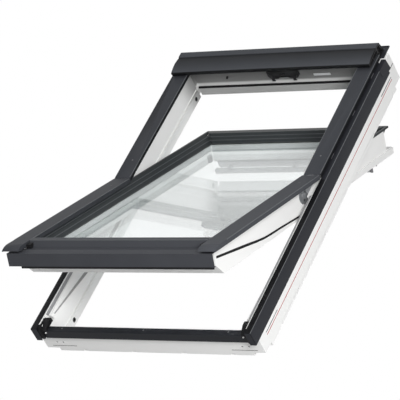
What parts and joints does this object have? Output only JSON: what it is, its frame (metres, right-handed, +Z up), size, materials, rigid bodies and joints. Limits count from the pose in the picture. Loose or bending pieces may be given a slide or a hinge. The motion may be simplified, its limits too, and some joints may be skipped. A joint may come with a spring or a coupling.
{
  "type": "roof skylight",
  "caption": "Centre-pivot roof window for a pitched roof: white frame and sash with dark metal covers, double glazing, ventilation flap with control bar, shown open.",
  "frame": {"origin": "middle of the outer, down-slope face of the frame's bottom member", "axes": "+X to the right seen from outside, +Z up, +Y level, into the roof; the frame leans with a roof of 45 degrees, up-slope is (0, 0.707, 0.707) and outward is (0, -0.707, 0.707)"},
  "size_m": [0.782, 1.1277, 0.9454],
  "materials": {
    "white_member": "white lacquer, satin",
    "glass": "clear",
    "red_line": "printed line",
    "rubber_black": "matte",
    "edge_seal": "matte",
    "plastic_black": "matte",
    "plastic_grey": "satin",
    "plastic_clear_grey": "satin",
    "plastic_white": "satin",
    "steel": "zinc plated",
    "screw_dark": "coated",
    "bare_plate": "bare",
    "spacer": "matte",
    "filter_foam": "open fleece",
    "bar_aluminium": "satin anodised",
    "trim_dark": "dark coating, satin",
    "cover_dark": "dark grey fine-textured coating"
  },
  "bodies": {
    "frame": {"frame_left_member": "white_member", "frame_right_member": "white_member", "frame_bottom_member": "white_member", "frame_top_member": "white_member", "depth_lines": "red_line", "side_cladding_left": "cover_dark", "side_cladding_right": "cover_dark", "top_corner_pieces": "cover_dark", "sill_cover": "cover_dark", "corner_seals": "rubber_black", "back_plate": "cover_dark", "top_hood": "cover_dark", "hood_ends": "plastic_black", "upper_cover_left": "cover_dark", "upper_cover_right": "cover_dark", "upper_cover_blocks": "plastic_grey", "frame_screws": "screw_dark", "frame_side_seals": "rubber_black", "frame_top_seal": "rubber_black", "frame_sill_seal": "rubber_black", "lock_striker": "plastic_black", "top_member_plate": "bare_plate", "hinge_track_left": "steel", "hinge_track_right": "steel", "hinge_track_screws": "steel", "bolt_seats": "plastic_black"},
    "sash": {"sash_left_member": "white_member", "sash_right_member": "white_member", "sash_bottom_member": "white_member", "sash_top_member": "white_member", "vent_filters": "filter_foam", "outer_pane": "glass", "inner_pane": "glass", "pane_spacer": "spacer", "pane_edge_seal": "edge_seal", "glazing_bed": "rubber_black", "sash_bottom_cover": "cover_dark", "sash_bottom_seal": "rubber_black", "bottom_glazing_trim": "trim_dark", "side_trim_left": "trim_dark", "side_trim_right": "trim_dark", "top_trim": "trim_dark", "lower_cover_left": "cover_dark", "lower_cover_right": "cover_dark", "lower_cover_blocks": "plastic_grey", "sash_cover_screws": "screw_dark", "side_seals": "rubber_black", "blind_clips": "plastic_clear_grey", "lock_case": "steel", "bolt_guide": "plastic_black", "hinge_rail_left": "steel", "hinge_rail_right": "steel", "hinge_rail_screws": "steel", "flap_clips": "plastic_white"},
    "flap": {"vent_flap": "bar_aluminium", "bar_arms": "bar_aluminium", "control_bar": "bar_aluminium", "end_caps": "plastic_grey"},
    "latch_bar": {"latch": "steel"},
    "bolt": {"sash_bolt": "steel"}
  },
  "joints": [
    {"name": "sash_pivot", "type": "hinge", "parent": "frame", "child": "sash", "pos_m": [0, 0.37335, 0.4879], "axis": [-1, 0, 0], "range_deg": [-25.5, 129.37]},
    {"name": "flap_hinge", "type": "hinge", "parent": "sash", "child": "flap", "pos_m": [0, 0.90486, 0.55794], "axis": [1, 0, 0], "range_deg": [0, 30]},
    {"name": "latch_slide", "type": "slide", "parent": "sash", "child": "latch_bar", "axis": [0, 0.9426, 0.3338], "range_m": [0, 0.009]},
    {"name": "bolt_slide", "type": "slide", "parent": "sash", "child": "bolt", "axis": [-1, 0, 0], "range_m": [0, 0.012]}
  ]
}
